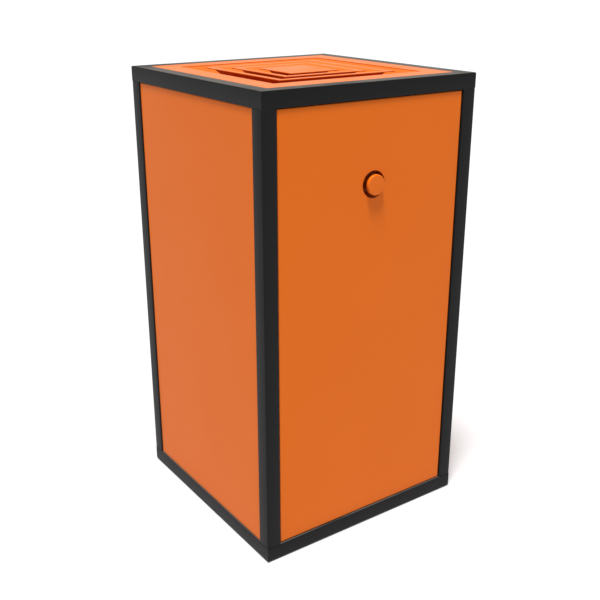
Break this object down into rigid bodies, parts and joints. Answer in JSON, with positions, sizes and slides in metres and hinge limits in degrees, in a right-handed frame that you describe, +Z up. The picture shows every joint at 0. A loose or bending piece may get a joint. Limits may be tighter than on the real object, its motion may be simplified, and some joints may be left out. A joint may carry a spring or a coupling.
{
  "type": "biohazard waste bin",
  "caption": "Square pedestal waste bin: dark square-tube frame, orange sheet panels, louvred square inlet on top, pull-out front with a recessed round knob, and a liner inside.",
  "frame": {"origin": "middle of the footprint, on the floor", "axes": "+Z up, -Y toward the front with the knob, +X to the right as seen from the front"},
  "size_m": [0.4, 0.4055, 0.75],
  "materials": {
    "frame_coat": "satin black powder coat",
    "orange_coat": "satin orange powder coat",
    "knob_enamel": "smooth satin orange enamel",
    "zinc_sheet": "zinc plated sheet",
    "slide_steel": "rolled and zinc plated",
    "rivet_metal": "bright",
    "bright_steel": "turned and plated",
    "glide_plastic": "moulded",
    "liner_plastic": "moulded grey, slightly rough"
  },
  "bodies": {
    "cabinet": {"bottom_rail_front": "frame_coat", "bottom_rail_back": "frame_coat", "bottom_rail_left": "frame_coat", "bottom_rail_right": "frame_coat", "top_rail_front": "frame_coat", "top_rail_back": "frame_coat", "top_rail_left": "frame_coat", "top_rail_right": "frame_coat", "post_front_left": "frame_coat", "post_front_right": "frame_coat", "post_back_left": "frame_coat", "post_back_right": "frame_coat", "left_panel": "orange_coat", "right_panel": "orange_coat", "back_panel": "orange_coat", "top_panel": "orange_coat", "floor_panel": "zinc_sheet", "left_panel_rivets": "rivet_metal", "right_panel_rivets": "rivet_metal", "back_panel_rivets": "rivet_metal", "top_panel_rivets": "rivet_metal", "floor_panel_rivets": "rivet_metal", "floor_glides": "glide_plastic", "inlet_well": "orange_coat", "latch_keeper": "zinc_sheet", "keeper_screws": "bright_steel", "slide_support_bar_left": "zinc_sheet", "slide_support_bar_right": "zinc_sheet", "slide_outer_left": "slide_steel", "slide_outer_right": "slide_steel", "slide_screws": "bright_steel"},
    "inlet_grille": {"inlet_ring_outer": "orange_coat", "inlet_ring_inner": "orange_coat", "inlet_centre_plate": "orange_coat", "inlet_bar_across": "orange_coat", "inlet_bar_deep": "orange_coat", "inlet_centre_post": "zinc_sheet"},
    "slide_middle_left": {"slide_middle_left": "slide_steel"},
    "slide_middle_right": {"slide_middle_right": "slide_steel"},
    "pull_out": {"front_panel": "orange_coat", "knob_cup": "orange_coat", "latch_housing": "orange_coat", "latch_nut": "bright_steel", "cradle": "zinc_sheet", "front_bracket_left": "zinc_sheet", "front_bracket_right": "zinc_sheet", "front_studs": "bright_steel", "front_nuts": "bright_steel", "slide_inner_left": "slide_steel", "slide_inner_right": "slide_steel", "cradle_screws": "bright_steel", "liner": "liner_plastic", "bail_pivots": "bright_steel"},
    "knob_lock": {"knob": "knob_enamel", "knob_spindle": "bright_steel", "latch_cam": "zinc_sheet", "cam_screw": "bright_steel"},
    "bail": {"bail_handle": "bright_steel", "bail_grip": "glide_plastic"}
  },
  "joints": [
    {"name": "front_pull", "type": "slide", "parent": "cabinet", "child": "pull_out", "axis": [0, -1, 0], "range_m": [0, 0.33]},
    {"name": "slide_left_follow", "type": "slide", "parent": "cabinet", "child": "slide_middle_left", "axis": [0, -1, 0], "range_m": [0, 0.165]},
    {"name": "slide_right_follow", "type": "slide", "parent": "cabinet", "child": "slide_middle_right", "axis": [0, -1, 0], "range_m": [0, 0.165]},
    {"name": "inlet_lift", "type": "slide", "parent": "cabinet", "child": "inlet_grille", "axis": [0, 0, 1], "range_m": [0, 0.12]},
    {"name": "knob_turn", "type": "hinge", "parent": "pull_out", "child": "knob_lock", "pos_m": [0, -0.19, 0.598], "axis": [0, -1, 0], "range_deg": [0, 90]},
    {"name": "bail_swing", "type": "hinge", "parent": "pull_out", "child": "bail", "pos_m": [0, 0.005, 0.58], "axis": [1, 0, 0], "range_deg": [0, 154]}
  ],
  "couplings": [
    {"joint": "slide_left_follow", "follows": "front_pull", "ratio": 0.5},
    {"joint": "slide_right_follow", "follows": "front_pull", "ratio": 0.5}
  ]
}
